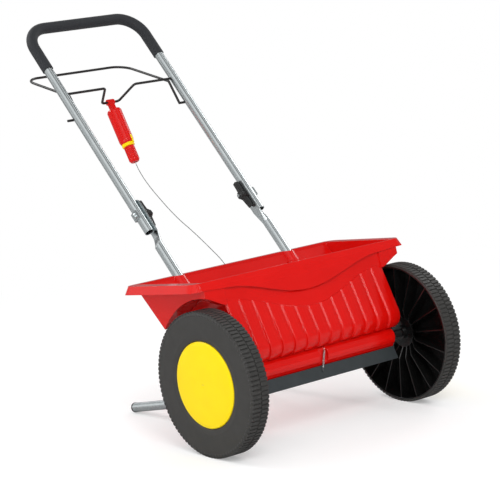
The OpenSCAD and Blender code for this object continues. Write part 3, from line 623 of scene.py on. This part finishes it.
# %% White paper
SHADE_RADIUS = 0.55
PAPER_RADIUS = 1.9
GLOW_NEAR = 0.16
PAPER_LACKS = 0.18
UNDER_MACHINE = (0, 0.1, 0)
paper = bpy.data.materials.new("white_paper")
paper.use_nodes = True
tree = paper.node_tree
tree.nodes.clear()
seen = add_node(tree, "ShaderNodeLightPath")
# Mirrored rays see the paper as a darker grey, B4B4B4 against F4F4F4: a painted shade that dims the floor's
# reflection in the glossy parts.
paper_and_painted_reflection_shade = {"Factor": seen.outputs["Is Glossy Ray"], "A": srgb("F4F4F4"), "B": srgb("B4B4B4")}
tone = add_node(tree, "ShaderNodeMix", paper_and_painted_reflection_shade, data_type="RGBA")
matt = add_node(tree, "ShaderNodeBsdfDiffuse", {"Color": tone.outputs["Result"]})
place = add_node(tree, "ShaderNodeTexCoord").outputs["Object"]
distance = add_node(
    tree, "ShaderNodeVectorMath", {0: place, 1: UNDER_MACHINE}, operation="DISTANCE"
).outputs["Value"]
values = {
    "Value": distance,
    "From Min": SHADE_RADIUS,
    "From Max": PAPER_RADIUS,
    "To Min": GLOW_NEAR,
    "To Max": 1.0,
}
far = add_node(tree, "ShaderNodeMapRange", values, interpolation_type="SMOOTHSTEP")
share = add_node(
    tree,
    "ShaderNodeMath",
    {0: seen.outputs["Is Camera Ray"], 1: far.outputs["Result"]},
    operation="MULTIPLY",
)
lack = add_node(tree, "ShaderNodeMath", {0: PAPER_LACKS, 1: far.outputs["Result"]}, operation="DIVIDE")
strength = add_node(tree, "ShaderNodeMath", {0: lack.outputs["Value"], 1: 1 - PAPER_LACKS}, operation="ADD")
glow = add_node(tree, "ShaderNodeEmission", {"Color": (1, 1, 1, 1), "Strength": strength.outputs["Value"]})
mixed = add_node(
    tree,
    "ShaderNodeMixShader",
    {0: share.outputs["Value"], 1: matt.outputs["BSDF"], 2: glow.outputs["Emission"]},
)
add_node(tree, "ShaderNodeOutputMaterial", {"Surface": mixed.outputs["Shader"]})
floor_mesh.materials.append(paper)
print(paper.name, "glows fully from", PAPER_RADIUS, "m out")

# %% [markdown]
# Light comes from a wide soft box high in front on the left, weaker ones on the left and right, and
# one behind that rims the tubes.


# %% Lamps
def soft_box(name, place, aim, size, watts):
    """A rectangular area lamp that is turned towards the point aim."""
    lamp = bpy.data.lights.new(name, "AREA")
    lamp.shape = "RECTANGLE"
    lamp.size, lamp.size_y = size
    lamp.energy = watts
    holder = bpy.data.objects.new(name, lamp)
    holder.location = place
    holder.rotation_mode = "QUATERNION"
    holder.rotation_quaternion = (Vector(aim) - Vector(place)).to_track_quat("-Z", "Y")
    bpy.context.scene.collection.objects.link(holder)
    return holder


MIDDLE = (0, 0.3, 0.4)
soft_box("key_box", (-1.4, -2.6, 2.6), MIDDLE, (1.8, 1.4), watts=60)
soft_box("left_box", (-3.2, -0.6, 1.1), MIDDLE, (1.4, 1.6), watts=14)
soft_box("fill_box", (3.0, 0.5, 2.0), MIDDLE, (1.4, 1.4), watts=22)
soft_box("rim_box", (-1.2, 2.8, 2.4), MIDDLE, (1.6, 1.2), watts=30)
print("four soft boxes round", MIDDLE)

# %% [markdown]
# The rest of the light is the even grey of a white room. Mirrored rays see it in bright and dark
# upright bands, like the panels and gaps of a studio, which draw the long stripes on the plated
# tubes. The camera sees it as pure white.

# %% White room
ROOM_LEVEL = 0.62
ROOM_BANDS = [(0.02, 0.4), (0.16, 0.9), (0.3, 1.0), (0.4, 0.2), (0.54, 0.2)]
ROOM_BANDS += [(0.6, 0.9), (0.68, 0.9), (0.76, 0.22), (0.98, 0.2)]
room = bpy.data.worlds.new("white_room")
bpy.context.scene.world = room
room.use_nodes = True
tree = room.node_tree
tree.nodes.clear()
seen = add_node(tree, "ShaderNodeLightPath")
even = add_node(tree, "ShaderNodeBackground", {"Color": (1, 1, 1, 1), "Strength": ROOM_LEVEL})
ray = add_node(tree, "ShaderNodeTexCoord").outputs["Generated"]
heading = add_node(tree, "ShaderNodeSeparateXYZ", {0: ray})
turned = add_node(
    tree, "ShaderNodeMapRange", {"Value": heading.outputs["X"], "From Min": -1.0, "From Max": 1.0}
)
bands = add_node(tree, "ShaderNodeValToRGB", {"Fac": turned.outputs["Result"]})
bands.color_ramp.interpolation = "EASE"
for at, level in ROOM_BANDS:
    stop = bands.color_ramp.elements.new(at)
    stop.color = (level, level, level, 1)
mirrored = add_node(tree, "ShaderNodeBackground", {"Color": bands.outputs["Color"], "Strength": 1.0})
white = add_node(tree, "ShaderNodeBackground", {"Color": (1, 1, 1, 1), "Strength": 1.0})
to_mirrors = {
    0: seen.outputs["Is Glossy Ray"],
    1: even.outputs["Background"],
    2: mirrored.outputs["Background"],
}
lit = add_node(tree, "ShaderNodeMixShader", to_mirrors)
to_camera = {
    0: seen.outputs["Is Camera Ray"],
    1: lit.outputs["Shader"],
    2: white.outputs["Background"],
}
mixed = add_node(tree, "ShaderNodeMixShader", to_camera)
add_node(tree, "ShaderNodeOutputWorld", {"Surface": mixed.outputs["Shader"]})
bpy.context.scene.view_settings.view_transform = "Standard"
print(room.name, "with", len(ROOM_BANDS), "bands for mirrored rays")

# %% [markdown]
# ## Camera
# The picture was taken with a long lens from the front left, a little above the hopper. The camera
# was also turned a few degrees about its own axis, so it gets a roll after it is aimed.

# %% Camera
CAMERA_AT = Vector((-3.0792, -3.5013, 1.2579))
CAMERA_AIM = Vector((-0.1814, -0.0297, 0.4351))
CAMERA_ROLL_DEG = -4.09
LENS_MM = 155.0
SENSOR_MM = 36.0
CLIP_END = 100
camera_data = bpy.data.cameras.new("camera")
camera_data.lens = LENS_MM
camera_data.sensor_width = SENSOR_MM
camera_data.clip_end = CLIP_END
camera = bpy.data.objects.new("camera", camera_data)
camera.location = CAMERA_AT
camera.rotation_mode = "QUATERNION"
aimed = (CAMERA_AIM - CAMERA_AT).to_track_quat("-Z", "Y")
camera.rotation_quaternion = aimed @ Quaternion((0, 0, 1), math.radians(CAMERA_ROLL_DEG))
bpy.context.scene.collection.objects.link(camera)
bpy.context.scene.camera = camera
print("camera", round((CAMERA_AIM - CAMERA_AT).length, 2), "m away")
